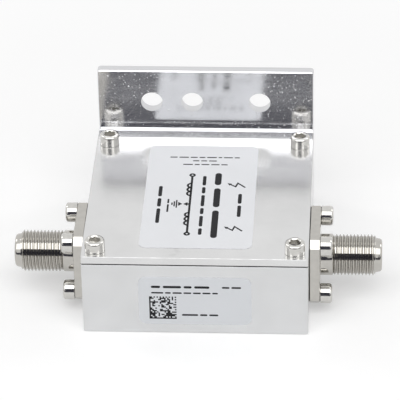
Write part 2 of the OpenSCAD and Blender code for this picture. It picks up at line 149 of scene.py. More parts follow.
class FinishColours(bpy.types.PropertyGroup):
    """Colours and gloss of the finishes"""

    cover: colour("Cover", "Satin metal of the cover", (0.70, 0.70, 0.70))
    cover_rough: share("Cover roughness", "Roughness of the cover's satin finish", 0.205)
    box: colour("Box", "Satin metal of the box", (0.66, 0.665, 0.67))
    box_rough: share("Box roughness", "Roughness of the box's satin finish", 0.12)
    plate: colour("Plate", "Bright plating of the grounding plate", (0.855, 0.857, 0.872))
    plate_rough: share("Plate roughness", "Roughness of the grounding plate", 0.125)
    plate_lean: angle("Plate lean", "Slight lean of the grounding plate's face", 1.0)
    plate_bow: angle("Plate bow", "Lean of the grounding plate's face at the box's top", 6.0)
    plate_bow_height: length("Plate bow height", "Height over which the lean fades", 8.2 * MM)
    nickel: colour("Nickel", "Bright plating of the jacks", (0.50, 0.485, 0.455))
    nickel_rough: share("Nickel roughness", "Roughness of the jacks", 0.09)
    steel: colour("Steel", "Turned steel of the screws", (0.60, 0.59, 0.565))
    steel_rough: share("Steel roughness", "Roughness of the screws", 0.12)
    insulator: colour("Insulator", "Waxy white of the insulators", (0.86, 0.85, 0.81))
    gold: colour("Gold", "Plating of the contacts", (0.83, 0.60, 0.24))
    rubber: colour("Rubber", "Metal-filled rubber of the gaskets", (0.16, 0.16, 0.155))
    board: colour("Board", "Solder resist of the circuit board", (0.012, 0.115, 0.045))
    ceramic: colour("Ceramic", "Glazed body of the gas tube", (0.80, 0.70, 0.65))
    copper: colour("Copper", "Enamelled wire of the coils", (0.62, 0.25, 0.09))
    capacitor: colour("Capacitor", "Sintered body of the capacitor", (0.36, 0.22, 0.11))
    moulding: colour("Moulding", "Moulded body of the diode", (0.022, 0.022, 0.024))
    film: colour("Top label", "Film of the top label", (0.80, 0.81, 0.835))
    foil: colour("Front label", "Film of the front label", (0.79, 0.81, 0.84))
    ink: colour("Ink", "Print on both labels", (0.022, 0.022, 0.024))


class StageSettings(bpy.types.PropertyGroup):
    """Camera, lamps and floor"""

    azimuth: angle("Azimuth", "Turn of the camera to the right of the front", 3.675)
    elevation: angle("Elevation", "Height of the camera above the horizon", 33.114)
    roll: angle("Roll", "Turn of the camera about its own axis", -1.26)
    distance: length("Distance", "Distance from the camera to its target", 715.72 * MM)
    target_height: length("Target height", "Height of the camera's target", 19.344 * MM)
    lens: FloatProperty(name="Lens", description="Focal length of the camera, in millimetres",
                        default=281.1, min=20.0, max=500.0)
    softbox: FloatProperty(name="Softbox", description="Brightness of the softbox over the front",
                           default=2.15, min=0.0)
    strips: FloatProperty(name="Strips", description="Brightness of the upright lamps at both sides",
                          default=2.2, min=0.0)
    fill: FloatProperty(name="Fill", description="Brightness of the room in diffuse light",
                        default=0.38, min=0.0)
    floor: colour("Floor", "Pale floor", (0.72, 0.72, 0.72))


class ArrestorSettings(bpy.types.PropertyGroup):
    """All settings of the arrestor"""

    jack: PointerProperty(type=JackSizes)
    marks: PointerProperty(type=PrintSizes)
    finish: PointerProperty(type=FinishColours)
    stage: PointerProperty(type=StageSettings)


def settings():
    """The settings that the scene holds"""
    return bpy.context.scene.arrestor


# Node materials

def wire(tree, kind, inputs=None, **attributes):
    """Adds a shader node, sets its attributes, and links or sets its inputs"""
    node = tree.nodes.new(kind)
    for name, value in attributes.items():
        setattr(node, name, value)
    for socket, value in (inputs or {}).items():
        if isinstance(value, bpy.types.NodeSocket):
            tree.links.new(value, node.inputs[socket])
        else:
            node.inputs[socket].default_value = value
    return node


def calculate(tree, operation, first, second=0.0):
    """The result of a Math node"""
    return wire(tree, "ShaderNodeMath", {0: first, 1: second}, operation=operation).outputs["Value"]


class Finish:
    """A Principled material and short ways to wire textures into it"""

    # The range that noise seldom leaves
    noise_range = (0.3, 0.7)
    # Where the dark end of a tint stands, and the roughness of dull spots
    dark_end = 0.02
    spot_rough = 0.5

    def __init__(self, name, base, rough, metallic=0.0):
        self.material = bpy.data.materials.new(name)
        self.material.use_nodes = True
        self.tree = self.material.node_tree
        self.shader = self.tree.nodes["Principled BSDF"]
        self.base = base
        self.rough = rough
        self.set("Base Color", self.shade(1.0))
        self.set("Roughness", rough)
        self.set("Metallic", metallic)
        coordinates = self.add("ShaderNodeTexCoord").outputs
        self.place = coordinates["Object"]
        self.facing = coordinates["Normal"]

    def set(self, socket, value):
        """Sets a socket of the shader"""
        self.shader.inputs[socket].default_value = value

    def feed(self, source, socket):
        """Links a texture to a socket of the shader"""
        self.tree.links.new(source, self.shader.inputs[socket])

    def add(self, kind, inputs=None, **attributes):
        """Adds a node to the material"""
        return wire(self.tree, kind, inputs, **attributes)

    def math(self, operation, first, second=0.0):
        """The result of a Math node in the material"""
        return calculate(self.tree, operation, first, second)

    def shade(self, factor):
        """The base colour, darker or lighter"""
        return (*(min(1.0, channel * factor) for channel in self.base), 1.0)

    def parts(self, vector):
        """The parts of a vector, by the names of their axes"""
        return self.add("ShaderNodeSeparateXYZ", {"Vector": vector}).outputs

    def stretched(self, scale):
        """The object's coordinates, stretched along each axis"""
        return self.add("ShaderNodeMapping", {"Vector": self.place, "Scale": scale}).outputs["Vector"]

    def ramp(self, source, low, high, at_low, at_high):
        """Maps the stretch from low to high onto two values"""
        inputs = {"Value": source, "From Min": low, "From Max": high, "To Min": at_low, "To Max": at_high}
        return self.add("ShaderNodeMapRange", inputs).outputs["Result"]

    def noise(self, size, detail=2.0, place=None):
        """Cloudy noise with features of this size"""
        inputs = {"Vector": place or self.place, "Scale": 1.0 / size, "Detail": detail}
        return self.add("ShaderNodeTexNoise", inputs).outputs["Fac"]

    def cells(self, size, spread, share_shown):
        """Round spots, one in some of the cells of this size, as a mask from 0 to 1"""
        core = spread / 2
        chosen_end = share_shown + 0.02
        spots = self.add("ShaderNodeTexVoronoi", {"Vector": self.place, "Scale": 1.0 / size}).outputs
        spot = self.ramp(spots["Distance"], core, spread, 1.0, 0.0)
        chosen = self.ramp(spots["Color"], share_shown, chosen_end, 1.0, 0.0)
        return self.math("MULTIPLY", spot, chosen)

    def upper_breaks(self):
        """1 on broken edges that slant up to the front or a side, and 0 on level and upright faces"""
        # Bounds of the normal's parts, between which the mask fades
        upright, level, rear = (0.45, 0.6), (0.8, 0.92), (0.1, 0.3)
        facing = self.parts(self.facing)
        slanted = self.math("MULTIPLY", self.ramp(facing["Z"], *upright, 0.0, 1.0),
                            self.ramp(facing["Z"], *level, 1.0, 0.0))
        return self.math("MULTIPLY", slanted, self.ramp(facing["Y"], *rear, 1.0, 0.0))

    def cut_edges(self):
        """1 on the edges and holes of a plate that stands across Y, and 0 on its faces"""
        # Bounds of the normal's part across the plate, between which the mask fades
        face = (0.4, 0.7)
        return self.ramp(self.math("ABSOLUTE", self.parts(self.facing)["Y"]), *face, 1.0, 0.0)

    def outside(self, mask, source):
        """The texture, falling to 0 where the mask is 1"""
        return self.math("MULTIPLY", source, self.math("SUBTRACT", 1.0, mask))

    def tint(self, source, low, high, dark=None):
        """Blends two shades of the base colour by a texture, and a dark one where it falls to 0"""
        node = self.add("ShaderNodeValToRGB", {"Fac": source})
        elements = node.color_ramp.elements
        for element, position, factor in zip(elements, self.noise_range, (low, high)):
            element.position = position
            element.color = self.shade(factor)
        if dark:
            elements.new(self.dark_end).color = self.shade(dark)
        self.feed(node.outputs["Color"], "Base Color")

    def roughen(self, source, smoother, rougher, spots=None):
        """Uneven gloss from a texture, with dull spots where a mask gives them"""
        rough = self.ramp(source, *self.noise_range, self.rough - smoother, self.rough + rougher)
        if spots:
            rough = self.math("MAXIMUM", rough, self.math("MULTIPLY", spots, self.spot_rough))
        self.feed(rough, "Roughness")

    def lean(self, most, stops):
        """Leans an upright surface back, by shares of an angle that are given at some heights"""
        low, high = stops[0][0], stops[-1][0]
        risen = self.ramp(self.parts(self.place)["Z"], low, high, 0.0, 1.0)
        curve = self.add("ShaderNodeValToRGB", {"Fac": risen})
        elements = curve.color_ramp.elements
        while len(elements) < len(stops):
            elements.new(1.0)
        for element, (height, part) in zip(elements, stops):
            element.position = (height - low) / (high - low)
            element.color = (part, part, part, 1.0)
        rise = self.math("MULTIPLY", curve.outputs["Color"], math.tan(most))
        upward = self.add("ShaderNodeCombineXYZ", {"Z": rise}).outputs["Vector"]
        flat = self.add("ShaderNodeNewGeometry").outputs["Normal"]
        total = self.add("ShaderNodeVectorMath", {0: flat, 1: upward}, operation="ADD").outputs["Vector"]
        unit = self.add("ShaderNodeVectorMath", {0: total}, operation="NORMALIZE").outputs["Vector"]
        self.feed(unit, "Normal")

    def bump(self, source, depth, strength=1.0):
        """Raises the surface by a texture, over any relief that is already there"""
        inputs = {"Strength": strength, "Distance": depth, "Height": source}
        normal = self.shader.inputs["Normal"]
        if normal.is_linked:
            inputs["Normal"] = normal.links[0].from_socket
        self.feed(self.add("ShaderNodeBump", inputs).outputs["Normal"], "Normal")

    def grain(self, texture, smoother, rougher, relief):
        """Uneven gloss and a fine relief from one texture"""
        self.roughen(texture, smoother, rougher)
        self.bump(texture, relief)


def satin_box_finish(name, base, rough):
    """Fine blasted metal with a faint cloudy tone, a few small marks, and painted shade that darkens the
    colour of the upper edge breaks
    """
    finish = Finish(name, base, rough, metallic=1.0)
    # Painted shade: the colour of the upper edge breaks falls towards half the metal's, a little unevenly, to
    # tone down the lamp's highlight on them
    uneven = finish.ramp(finish.noise(2.5 * MM), low=0.35, high=0.65, at_low=1.0, at_high=0.7)
    painted_edge_shade = finish.math("MULTIPLY", finish.upper_breaks(), uneven)
    tone_and_edge_shade = finish.outside(painted_edge_shade, finish.noise(9 * MM, detail=3.0))
    finish.tint(tone_and_edge_shade, low=0.965, high=1.03, dark=0.5)
    finish.grain(finish.noise(0.16 * MM), smoother=0.05, rougher=0.05, relief=0.0012 * MM)
    marks = finish.cells(3.2 * MM, spread=0.055, share_shown=0.22)
    finish.bump(marks, depth=-0.02 * MM, strength=0.7)
    return finish.material


def bright_plate_finish():
    """Bright plated sheet that is not quite flat, with fine pits, rougher edges whose colour is darkened as
    painted shade, and faint rolling lines
    """
    look = settings().finish
    finish = Finish("bright_plate", look.plate, look.plate_rough, metallic=1.0)
    edges = finish.cut_edges()
    edge_dullness = 0.8
    # Painted shade: the colour of the cut edges and holes falls to 0.77 of the plate's, to tone down the
    # lamp's highlight on them; their roughness is raised as well
    tone_and_edge_shade = finish.outside(edges, finish.noise(5 * MM, detail=3.0))
    finish.tint(tone_and_edge_shade, low=0.95, high=1.03, dark=0.77)
    # Shares of the bow's height, each with its share of the bow's lean
    bow = ((0.0, 0.0), (0.04, 0.25), (0.24, 0.29), (0.33, 1.0), (0.36, 1.0),
           (1.0, look.plate_lean / look.plate_bow))
    finish.lean(look.plate_bow, [(COVER_TOP + up * look.plate_bow_height, part) for up, part in bow])
    rolled = finish.noise(1.0 * MM, place=finish.stretched((0.12, 1.0, 2.2)))
    patches = finish.ramp(finish.noise(7 * MM, detail=1.0), low=0.35, high=0.6, at_low=0.6, at_high=1.0)
    pits = finish.math("MULTIPLY", finish.cells(0.5 * MM, spread=0.26, share_shown=0.62), patches)
    dents = finish.cells(1.6 * MM, spread=0.12, share_shown=0.25)
    dull = finish.math("MAXIMUM", pits, finish.math("MULTIPLY", edges, edge_dullness))
    finish.roughen(rolled, smoother=0.02, rougher=0.04, spots=dull)
    finish.bump(rolled, depth=0.001 * MM, strength=0.5)
    finish.bump(pits, depth=-0.0085 * MM)
    finish.bump(dents, depth=-0.02 * MM)
    return finish.material


def nickel_finish():
    """Bright nickel over turned brass"""
    look = settings().finish
    finish = Finish("bright_nickel", look.nickel, look.nickel_rough, metallic=1.0)
    finish.tint(finish.noise(1.6 * MM), low=0.96, high=1.03)
    turned = finish.noise(0.12 * MM, place=finish.stretched((3.0, 0.25, 0.25)))
    finish.grain(turned, smoother=0.03, rougher=0.03, relief=0.0004 * MM)
    return finish.material


def turned_steel_finish():
    """Bright turned steel of the screws"""
    look = settings().finish
    finish = Finish("turned_steel", look.steel, look.steel_rough, metallic=1.0)
    finish.tint(finish.noise(0.9 * MM), low=0.94, high=1.05)
    finish.grain(finish.noise(0.10 * MM), smoother=0.04, rougher=0.05, relief=0.0006 * MM)
    return finish.material


def plain_finish(name, base, rough, grain, relief, metallic=0.0):
    """Cloudy colour, uneven gloss and a fine relief, for moulded and plated pieces"""
    finish = Finish(name, base, rough, metallic)
    cloud = 12 * grain
    finish.tint(finish.noise(cloud, detail=3.0), low=0.94, high=1.05)
    finish.grain(finish.noise(grain), smoother=0.06, rougher=0.06, relief=relief)
    return finish.material


def label_finish(name, base, rough):
    """Matt printing film with a slight orange-peel"""
    finish = Finish(name, base, rough)
    finish.set("IOR", 1.46)
    finish.tint(finish.noise(7 * MM), low=0.985, high=1.01)
    finish.grain(finish.noise(0.5 * MM), smoother=0.05, rougher=0.05, relief=0.002 * MM)
    return finish.material


def ink_finish(name):
    """Matt printing ink"""
    finish = Finish(name, settings().finish.ink, rough=0.6)
    finish.set("Specular IOR Level", 0.15)
    spread = finish.noise(0.25 * MM)
    finish.tint(spread, low=0.85, high=1.25)
    finish.grain(spread, smoother=0.08, rougher=0.08, relief=0.0006 * MM)
    return finish.material


def dress(material, *nodes):
    """Gives the finish to these solids of the frame"""
    for name in nodes:
        slots = NODES[name].data.materials
        slots.clear()
        slots.append(material)


# Object and mesh helpers

def link_object(name, data):
    """Makes an object of this data and puts it in the scene"""
    made = bpy.data.objects.new(name, data)
    bpy.context.scene.collection.objects.link(made)
    return made


def mesh_object(name, build, material):
    """Makes an object of the build, which is freed"""
    mesh = bpy.data.meshes.new(name)
    build.to_mesh(mesh)
    build.free()
    mesh.materials.append(material)
    return link_object(name, mesh)


def add_piece(name, build, material):
    """Makes a piece that is smooth but for its sharp edges, and rides on the part"""
    bmesh.ops.recalc_face_normals(build, faces=build.faces)
    piece = mesh_object(name, build, material)
    piece.data.shade_smooth()
    piece.data.set_sharp_from_angle(angle=SHARP_ANGLE)
    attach(piece, BODY)
    return piece


def add_ring(build, radius, height, segments):
    """A ring of vertices about Z"""
    turn = 2 * math.pi / segments
    return [build.verts.new((radius * math.cos(i * turn), radius * math.sin(i * turn), height))
            for i in range(segments)]


def join_rings(build, low, high):
    """A closed band of quads between two rings of equal count"""
    for i in range(len(low)):
        j = (i + 1) % len(low)
        build.faces.new((low[i], low[j], high[j], high[i]))


def lathe(build, profile, segments):
    """Turns a profile of radii and heights, and gives its rings"""
    rings = [add_ring(build, radius, height, segments) for radius, height in profile]
    for low, high in zip(rings, rings[1:]):
        join_rings(build, low, high)
    return rings


def arc_profile(centre, radius, start, end, steps):
    """Points of an arc in a profile, angles in degrees"""
    points = []
    for i in range(steps + 1):
        turn = math.radians(start + (end - start) * i / steps)
        points.append((centre[0] + radius * math.cos(turn), centre[1] + radius * math.sin(turn)))
    return points


# Threaded jacks

def thread_height(phase):
    """Height of a 60 degree thread at a phase from 0 to 1, with a soft root and crest"""
    root_half = 0.125
    crest_half = 0.0625
    softness = 0.06
    rise = (min(phase, 1.0 - phase) - root_half) / (0.5 - crest_half - root_half)
    rise = max(0.0, min(1.0, rise))
    return rise - softness * math.sin(2 * math.pi * rise)


def add_thread(build, sizes, start, end):
    """A screw thread between two heights, whose rows of faces follow its helix"""
    columns = sizes.segments
    pitch = sizes.thread_pitch
    root = sizes.thread_radius - sizes.thread_depth
    phases = (0.0, 0.125, 0.2, 0.28, 0.36, 0.4375, 0.5, 0.5625, 0.64, 0.72, 0.8, 0.875)
    in_turn = len(phases)
    fade_length = 0.5 * pitch
    spare_turns = 3

    def place(row, column):
        phase = phases[row % in_turn]
        advance = row // in_turn - 1 + phase + column / columns
        height = max(start, min(end, start + pitch * advance))
        fade = max(0.0, min(1.0, (height - start) / fade_length, (end - height) / fade_length))
        radius = root + sizes.thread_depth * fade * thread_height(phase)
        turn = 2 * math.pi * column / columns
        return radius * math.cos(turn), radius * math.sin(turn), height

    turns = math.ceil((end - start) / pitch) + spare_turns
    grid = [[build.verts.new(place(row, column)) for column in range(columns)]
            for row in range(turns * in_turn)]
    for row in range((turns - 1) * in_turn - 1):
        for column in range(columns):
            if column + 1 < columns:
                low, high = grid[row][column + 1], grid[row + 1][column + 1]
            else:
                low, high = grid[row + in_turn][0], grid[row + in_turn + 1][0]
            build.faces.new((grid[row][column], low, high, grid[row + 1][column]))


def flange_ring(build, sizes, inset, height):
    """The eight corners of the flange's outline, set in all round"""
    far = sizes.flange_width / 2 - inset
    near = sizes.flange_width / 2 - sizes.flange_cut - inset * (math.sqrt(2) - 1)
    corners = ((near, -far), (far, -near), (far, near), (near, far),
               (-near, far), (-far, near), (-far, -near), (-near, -far))
    return [build.verts.new((x, y, height)) for x, y in corners]


def fill_between(build, rings):
    """A flat face with holes, bounded by these rings"""
    edges = []
    for ring in rings:
        for i, vert in enumerate(ring):
            ends = (vert, ring[(i + 1) % len(ring)])
            edges.append(build.edges.get(ends) or build.edges.new(ends))
    bmesh.ops.triangle_fill(build, edges=edges, use_beauty=True)


def add_flange(build, sizes, outer_hole, inner_hole):
    """The square flange with its four screw holes, from height 0 outward"""
    thick = sizes.flange_face - sizes.flange_back
    edge = sizes.flange_edge
    back_break = 0.1 * MM
    hole_break = 0.12 * MM
    hole_segments = 32
    edge_middle = 0.29 * edge
    sides = [flange_ring(build, sizes, inset, height) for inset, height in (
        (back_break, 0.0), (0.0, back_break), (0.0, thick - edge),
        (edge_middle, thick - edge_middle), (edge, thick))]
    for low, high in zip(sides, sides[1:]):
        join_rings(build, low, high)
    fronts = [sides[-1], outer_hole]
    backs = [sides[0], inner_hole]
    for x in (-1, 1):
        for y in (-1, 1):
            rings = lathe(build, ((sizes.screw_hole, 0.0), (sizes.screw_hole, thick - hole_break),
                                  (sizes.screw_hole + hole_break, thick)), hole_segments)
            for vert in sum(rings, []):
                vert.co.x += x * sizes.screw_pitch / 2
                vert.co.y += y * sizes.screw_pitch / 2
            backs.append(rings[0])
            fronts.append(rings[-1])
    fill_between(build, fronts)
    fill_between(build, backs)


def jack_build(sizes):
    """One closed mesh of a jack body, about Z, with its flange's inner face on height 0"""
    build = bmesh.new()
    count = sizes.segments
    thick = sizes.flange_face - sizes.flange_back
    collar_end = thick + sizes.collar_length
    nose_end = JACK_HIGH.x - sizes.flange_back
    thread_end = nose_end - sizes.nose_length
    inside = JACK_LOW.x - sizes.flange_back
    root = sizes.thread_radius - sizes.thread_depth
    collar = sizes.collar_radius
    fillet = 0.2 * MM
    chamfer = 0.3 * MM
    tip_round = sizes.nose_round
    mouth_break = 0.12 * MM
    joined = 1e-4 * MM
    bulge_in, bulge_down = 0.4 * chamfer, 0.3 * chamfer
    collar_rings = lathe(build, [
        *arc_profile((collar + fillet, thick + fillet), fillet, start=270, end=180, steps=4),
        (collar, collar_end - chamfer), (collar - bulge_in, collar_end - bulge_down),
        (collar - chamfer, collar_end), (root, collar_end)], count)
    add_thread(build, sizes, collar_end, thread_end)
    barrel_rings = lathe(build, [
        (root, thread_end), (sizes.nose_root, thread_end), (sizes.nose_tip, nose_end - tip_round),
        *arc_profile((sizes.nose_tip - tip_round, nose_end - tip_round), tip_round, start=8, end=90, steps=8),
        (sizes.mouth_radius + mouth_break, nose_end), (sizes.mouth_radius, nose_end - mouth_break),
        (sizes.mouth_radius, nose_end - sizes.mouth_lip), (sizes.bore_radius, nose_end - sizes.mouth_lip),
        (sizes.bore_radius, inside), (sizes.spigot_radius - chamfer, inside),
        (sizes.spigot_radius, inside + chamfer), (sizes.spigot_radius, 0.0)], count)
    add_flange(build, sizes, collar_rings[0], barrel_rings[-1])
    bmesh.ops.remove_doubles(build, verts=build.verts, dist=joined)
    return build


# Label print

# Rows of print, as start, end, middle and height of the bars, in millimetres on the label's face
TOP_ROWS = (
    (-3.9, 11.5, -9.15, 0.85), (1.5, 6.9, -7.1, 0.42), (-8.4, 16.1, 0.75, 0.8),
    (-9.7, 17.3, 3.9, 1.5), (-1.0, 8.6, 9.2, 0.85),
)
BACK_ROWS = ((-7.8, 8.5, 16.4, 0.4), (-2.4, 3.2, 14.9, 0.4), (-4.6, 5.8, 13.3, 0.4))
FRONT_ROWS = (
    (-9.8, 3.3, 12.65, 0.62), (6.1, 10.4, 12.65, 0.46), (-9.8, 5.2, 11.05, 0.4), (-3.0, 5.2, 5.1, 0.46),
)
# Places of the symbols on their labels, in millimetres
SHUNT_PLACE = (3.5, -3.6)
ARROW_PLACES = ((8.3, 4.75), (8.3, -13.3))
CODE_PLACE = (-10.3, 3.95)


class Sheet:
    """A label's face: u runs along its width, v along its height, and print stands on it"""

    def __init__(self, origin, along, up, build=None):
        self.build = bmesh.new() if build is None else build
        self.origin = Vector(origin)
        self.along = Vector(along)
        self.up = Vector(up)
        self.out = self.along.cross(self.up)

    def slab(self, outline):
        """A thin plate of ink with this outline, in millimetres, a little sunk into the label"""
        ink = settings().marks.ink
        low, high = [], []
        for u, v in outline:
            point = self.origin + (self.along * u + self.up * v) * MM
            low.append(self.build.verts.new(point - self.out * ink))
            high.append(self.build.verts.new(point + self.out * ink))
        join_rings(self.build, low, high)
        self.build.faces.new(high)
        self.build.faces.new(low[::-1])

    def bar(self, u, v, width, height):
        """A rectangle from its lower left corner"""
        self.slab(((u, v), (u + width, v), (u + width, v + height), (u, v + height)))

    def arc(self, u, v, inner, outer, end, steps):
        """A band between two radii, from the direction of u to an end angle"""
        turns = [end * i / steps for i in range(steps + 1)]
        for first, second in zip(turns, turns[1:]):
            self.slab([(u + r * math.cos(t), v + r * math.sin(t)) for r, t in (
                (inner, first), (outer, first), (outer, second), (inner, second))])

    def line(self, points, stroke):
        """A bent line of even width with mitred corners"""
        sharpest = 0.35
        left, right = [], []
        points = [Vector(point) for point in points]
        for i, point in enumerate(points):
            before = (point - points[i - 1]).normalized() if i else None
            after = (points[i + 1] - point).normalized() if i + 1 < len(points) else None
            across = Vector((0.0, 0.0))
            for way in (before, after):
                if way:
                    across += Vector((-way.y, way.x))
            way = after or before
            across.normalize()
            across *= stroke / 2 / max(sharpest, across.dot(Vector((-way.y, way.x))))
            left.append(point + across)
            right.append(point - across)
        self.slab([tuple(point) for point in left + right[::-1]])

    def pill(self, u, v, width, height):
        """A bar with round ends, from its left end and its middle height"""
        steps = 6
        radius = height / 2
        turns = [math.pi * (i / steps - 0.5) for i in range(steps + 1)]
        right = [(u + width - radius + radius * math.cos(t), v + radius * math.sin(t)) for t in turns]
        left = [(u + radius - radius * math.cos(t), v - radius * math.sin(t)) for t in turns]
        self.slab(right + left)

    def words(self, start, end, v, height, chance):
        """A row of plain bars of uneven lengths"""
        gap = 0.9 * height
        usual_length = 5.2 * height
        shortest, longest = 0.55, 1.6
        count = max(1, round((end - start) / usual_length))
        weights = [chance.uniform(shortest, longest) for _ in range(count)]
        scale = (end - start - gap * (count - 1)) / sum(weights)
        u = start
        for weight in weights:
            self.pill(u, v, weight * scale, height)
            u += weight * scale + gap

    def surge_arrow(self, u, v, stroke):
        """A zigzag arrow that points towards negative u"""
        bends = ((u + 1.95, v - 1.05), (u + 0.2, v + 0.75), (u - 0.28, v - 0.75), (u - 1.5, v + 0.15))
        self.line(bends, stroke)
        self.slab(((u - 2.25, v + 0.72), (u - 1.15, v + 0.46), (u - 1.71, v - 0.28)))

    def shunt_symbol(self, u, v, stroke):
        """The circuit symbol of a line with a spark gap to earth, along u"""
        line_v = v + 1.45
        half_line = 12.2
        terminal = 0.75
        bare_end = 0.7
        coil_u = 6.1
        for side in (-1, 1):
            end = u + side * half_line
            self.arc(end, line_v, terminal - stroke, terminal, end=2 * math.pi, steps=40)
            self.bar(min(u, end - side * bare_end), line_v - stroke / 2, half_line - bare_end, stroke)
            self.coil_symbol(u + side * coil_u, line_v, stroke)
        stem_v = v + 0.75
        self.bar(u - stroke / 2, stem_v, stroke, line_v - stem_v - stroke / 2)
        point_half = 0.8
        self.slab(((u - point_half, v + 0.95), (u, v - 0.05), (u + point_half, v + 0.95)))
        self.slab(((u - point_half, v - 1.2), (u + point_half, v - 1.2), (u, v - 0.2)))
        earth_v, earth_step, earth_stroke = v - 1.72, 0.52, 0.62 * stroke
        for step, width in enumerate((3.2, 2.1, 1.0)):
            self.bar(u - width / 2, earth_v - earth_step * step, width, earth_stroke)

    def coil_symbol(self, u, v, stroke):
        """Three humps below the line"""
        hump = 0.85
        for step in (-1, 0, 1):
            self.arc(u + 2 * hump * step, v, hump - stroke / 2, hump + stroke / 2, end=-math.pi, steps=10)

    def code_block(self, u, v, size, cells, chance):
        """A square of chance cells with two solid edges"""
        cell = size / cells
        for row in range(cells):
            column = 0
            while column < cells:
                run = 0
                while column + run < cells and self.cell_filled(row, column + run, cells, chance):
                    run += 1
                if run:
                    self.bar(u + column * cell, v + row * cell, run * cell, cell)
                column += run + 1

    @staticmethod
    def cell_filled(row, column, cells, chance):
        """Two solid edges, two edges of every other cell, and chance inside"""
        filled_share = 0.5
        drawn = chance.random() < filled_share
        if row == 0 or column == 0:
            return True
        if row == cells - 1 or column == cells - 1:
            return (row + column) % 2 == 0
        return drawn


# Operators, one for each piece or group of like pieces

class ArrestorOperator(bpy.types.Operator):
    """Shared options of the operators"""

    bl_options = {"REGISTER", "UNDO"}


class ARRESTOR_OT_box(ArrestorOperator):
    """Give the box and its cover their satin metal finish"""

    bl_idname = "arrestor.box"
    bl_label = "Box and cover"

    def execute(self, context):
        look = settings().finish
        dress(satin_box_finish("satin_cover", look.cover, look.cover_rough), "cover")
        dress(satin_box_finish("satin_housing", look.box, look.box_rough), "housing")
        return {"FINISHED"}


class ARRESTOR_OT_grounding_plate(ArrestorOperator):
    """Give the grounding plate its bright pitted plating"""

    bl_idname = "arrestor.grounding_plate"
    bl_label = "Grounding plate"

    def execute(self, context):
        dress(bright_plate_finish(), "grounding_plate")
        return {"FINISHED"}


class ARRESTOR_OT_jacks(ArrestorOperator):
    """Build the two flanged jack bodies with their screw threads"""

    bl_idname = "arrestor.jacks"
    bl_label = "Threaded jacks"

    def execute(self, context):
        sizes = settings().jack
        nickel = nickel_finish()
        middle = (JACK_LOW + JACK_HIGH) / 2
        for name, side in (("left", -1), ("right", 1)):
            place = Matrix.Translation((side * sizes.flange_back, middle.y, middle.z))
            turn = Matrix.Rotation(side * math.pi / 2, 4, "Y")
            build = jack_build(sizes)
            bmesh.ops.transform(build, matrix=place @ turn, verts=build.verts)
            jack = add_piece(name + "_threaded_jack", build, nickel)
            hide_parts(name + "_jack_body")
        return {"FINISHED"}


class ARRESTOR_OT_jack_inserts(ArrestorOperator):
    """Finish the insulators and the spring contacts inside the jacks"""

    bl_idname = "arrestor.jack_inserts"
    bl_label = "Insulators and contacts"

    def execute(self, context):
        look = settings().finish
        wax = plain_finish("insulator_wax", look.insulator, rough=0.38, grain=0.25 * MM, relief=0.001 * MM)
        gold = plain_finish("contact_gold", look.gold, rough=0.16, grain=0.12 * MM, relief=0.0006 * MM,
                            metallic=1.0)
        for side in ("left", "right"):
            dress(wax, side + "_jack_insulator")
            dress(gold, side + "_jack_contact")
        return {"FINISHED"}


class ARRESTOR_OT_screws(ArrestorOperator):
    """Finish the cover, flange, plate and board screws"""

    bl_idname = "arrestor.screws"
    bl_label = "Screws"

    def execute(self, context):
        dress(turned_steel_finish(), "cover_screws", "left_flange_screws", "right_flange_screws",
              "plate_screws", "board_screws")
        return {"FINISHED"}


class ARRESTOR_OT_seals(ArrestorOperator):
    """Finish the rubber gaskets"""

    bl_idname = "arrestor.seals"
    bl_label = "Gaskets"

    def execute(self, context):
        rubber = plain_finish("gasket_rubber", settings().finish.rubber, rough=0.75, grain=0.12 * MM,
                              relief=0.004 * MM)
        dress(rubber, "cover_gasket", "left_jack_gasket", "right_jack_gasket")
        return {"FINISHED"}


class ARRESTOR_OT_circuit(ArrestorOperator):
    """Finish the circuit board and the parts on it"""

    bl_idname = "arrestor.circuit"
    bl_label = "Circuit"

    def execute(self, context):
        look = settings().finish
        resist = plain_finish("board_resist", look.board, rough=0.32, grain=0.2 * MM, relief=0.002 * MM)
        ceramic = plain_finish("tube_ceramic", look.ceramic, rough=0.25, grain=0.2 * MM, relief=0.001 * MM)
        copper = plain_finish("coil_copper", look.copper, rough=0.22, grain=0.15 * MM, relief=0.001 * MM,
                              metallic=1.0)
        sintered = plain_finish("capacitor_body", look.capacitor, rough=0.5, grain=0.12 * MM,
                                relief=0.002 * MM)
        moulding = plain_finish("diode_moulding", look.moulding, rough=0.55, grain=0.1 * MM,
                                relief=0.002 * MM)
        dress(resist, "circuit_board")
        dress(ceramic, "gas_tube")
        dress(copper, "surge_coil", "equipment_coil")
        dress(sintered, "coupling_capacitor")
        dress(moulding, "clamp_diode")
        return {"FINISHED"}


class ARRESTOR_OT_top_label(ArrestorOperator):
    """Finish the top label and print it with plain rows, a circuit symbol and surge arrows"""

    bl_idname = "arrestor.top_label"
    bl_label = "Top label"

    def execute(self, context):
        sizes = settings().marks
        chance = random.Random(sizes.seed)
        dress(label_finish("top_label_film", settings().finish.film, rough=0.42), "top_label")
        middle = (TOP_LOW + TOP_HIGH) / 2
        origin = (middle.x, middle.y, TOP_HIGH.z)
        # The large rows run from the back to the front, with their top to the right
        sheet = Sheet(origin, along=(0, -1, 0), up=(1, 0, 0))
        for row in TOP_ROWS:
            sheet.words(*row, chance)
        sheet.shunt_symbol(*SHUNT_PLACE, sizes.stroke / MM)
        # The arrows and the small rows at the back run across the label
        across = Sheet(origin, along=(1, 0, 0), up=(0, 1, 0), build=sheet.build)
        for place in ARROW_PLACES:
            across.surge_arrow(*place, sizes.arrow_stroke / MM)
        for row in BACK_ROWS:
            across.words(*row, chance)
        add_piece("top_label_print", sheet.build, ink_finish("top_label_ink"))
        return {"FINISHED"}


